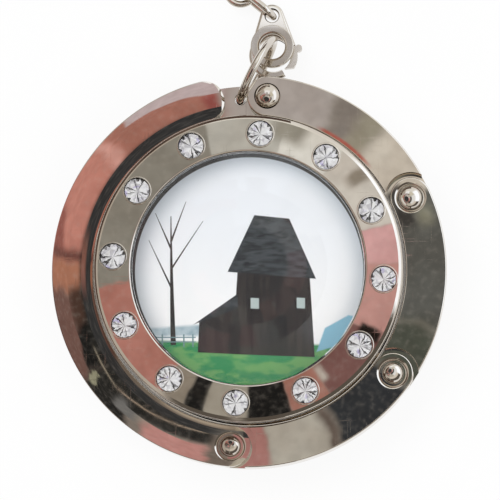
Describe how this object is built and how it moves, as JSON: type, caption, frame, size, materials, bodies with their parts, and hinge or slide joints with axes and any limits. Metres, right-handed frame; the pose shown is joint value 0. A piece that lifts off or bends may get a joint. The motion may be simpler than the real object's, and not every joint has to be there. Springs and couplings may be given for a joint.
{
  "type": "purse hook",
  "caption": "Round folding purse hook: arc links and a long hook riveted round a crystal-set drum with a domed picture, on a clasp, chain and ring.",
  "frame": {"origin": "centre of the rubber pad's underside, on which the folded hook lies", "axes": "+Z out of the picture's face, +Y towards the chain, +X to the right when the picture is upright"},
  "size_m": [0.0446, 0.0712, 0.01],
  "materials": {
    "polished_nickel": "mirror polished zinc casting, nickel plated, fine handling scratches",
    "plain_nickel": "nickel plated stamping, satin",
    "rivet_nickel": "polished rivet head",
    "wire_nickel": "bright drawn wire, nickel plated",
    "clasp_nickel": "polished casting, nickel plated",
    "magnet_nickel": "nickel plated magnet",
    "spring_steel": "rolled spring steel",
    "pad_rubber": "matt black, finely ribbed",
    "printed_picture": "printed picture in pale blue, green and dark brown",
    "clear_dome": "clear domed cabochon",
    "crystal": "facet-cut clear crystal, foiled behind"
  },
  "bodies": {
    "drum": {"case_casting": "polished_nickel", "back_cover": "plain_nickel", "back_pad": "pad_rubber", "printed_disc": "printed_picture", "dome_lens": "clear_dome", "case_magnet": "magnet_nickel", "rivet_1": "rivet_nickel", "stone_01": "crystal", "stone_02": "crystal", "stone_03": "crystal", "stone_04": "crystal", "stone_05": "crystal", "stone_06": "crystal", "stone_07": "crystal", "stone_08": "crystal", "stone_09": "crystal", "stone_10": "crystal", "stone_11": "crystal", "stone_12": "crystal"},
    "first_link": {"link_1": "polished_nickel", "rivet_2": "rivet_nickel"},
    "second_link": {"link_2": "polished_nickel", "rivet_3": "rivet_nickel"},
    "third_link": {"link_3": "polished_nickel", "rivet_4": "rivet_nickel"},
    "hook": {"hook_arm": "polished_nickel", "hook_magnet": "magnet_nickel"},
    "lug_ring": {"jump_ring": "wire_nickel"},
    "loose_ring": {"small_ring": "wire_nickel"},
    "clasp": {"clasp_body": "clasp_nickel", "clasp_pin": "rivet_nickel", "clasp_spring": "spring_steel"},
    "lever": {"clasp_lever": "clasp_nickel"},
    "chain_first": {"chain_link_1": "wire_nickel"},
    "chain_second": {"chain_link_2": "wire_nickel"},
    "chain_third": {"chain_link_3": "wire_nickel"},
    "key_ring": {"end_ring": "wire_nickel"}
  },
  "joints": [
    {"name": "link_1_pivot", "type": "hinge", "parent": "drum", "child": "first_link", "pos_m": [0.00209, 0.01989, 0.0046], "axis": [0, 0, 1], "range_deg": [0, 35]},
    {"name": "link_2_pivot", "type": "hinge", "parent": "first_link", "child": "second_link", "pos_m": [0.01827, 0.00813, 0.0046], "axis": [0, 0, 1], "range_deg": [0, 35]},
    {"name": "link_3_pivot", "type": "hinge", "parent": "second_link", "child": "third_link", "pos_m": [0.01618, -0.01176, 0.0046], "axis": [0, 0, 1], "range_deg": [0, 50]},
    {"name": "hook_pivot", "type": "hinge", "parent": "third_link", "child": "hook", "pos_m": [-0.00209, -0.01989, 0.0046], "axis": [0, 0, 1], "range_deg": [0, 75]},
    {"name": "lug_ring_swing", "type": "hinge", "parent": "drum", "child": "lug_ring", "pos_m": [-0.001, 0.0197, 0.0045], "axis": [0, 0, 1], "range_deg": [-5, 30]},
    {"name": "loose_ring_swing", "type": "hinge", "parent": "lug_ring", "child": "loose_ring", "pos_m": [0.00258, 0.02629, 0.00285], "axis": [0, 0, 1], "range_deg": [-30, 30]},
    {"name": "clasp_swing", "type": "hinge", "parent": "lug_ring", "child": "clasp", "pos_m": [0.0026, 0.0253, 0.0017], "axis": [0, 0, 1], "range_deg": [-30, 20]},
    {"name": "lever_pivot", "type": "hinge", "parent": "clasp", "child": "lever", "pos_m": [0.0041, 0.02736, 0.0017], "axis": [0, 0, 1], "range_deg": [-14, 0], "stiffness_Nm_per_rad": 0.0002, "springref_deg": 8.59},
    {"name": "chain_1_swing", "type": "hinge", "parent": "clasp", "child": "chain_first", "pos_m": [0.00245, 0.0299, 0.0017], "axis": [0, 0, 1], "range_deg": [-30, 15]},
    {"name": "chain_2_swing", "type": "hinge", "parent": "chain_first", "child": "chain_second", "pos_m": [-0.00108, 0.03285, 0.0013], "axis": [0, 0, 1], "range_deg": [-25, 20]},
    {"name": "chain_3_swing", "type": "hinge", "parent": "chain_second", "child": "chain_third", "pos_m": [-0.00267, 0.03586, 0.0013], "axis": [0, 0, 1], "range_deg": [-14, 20]},
    {"name": "key_ring_swing", "type": "hinge", "parent": "chain_third", "child": "key_ring", "pos_m": [-0.00383, 0.03905, 0.0015], "axis": [0, 0, 1], "range_deg": [-25, 25]}
  ],
  "couplings": [
    {"joint": "link_1_pivot", "follows": "hook_pivot", "ratio": 0.35},
    {"joint": "link_2_pivot", "follows": "hook_pivot", "ratio": 0.35},
    {"joint": "link_3_pivot", "follows": "hook_pivot", "ratio": 0.5}
  ]
}
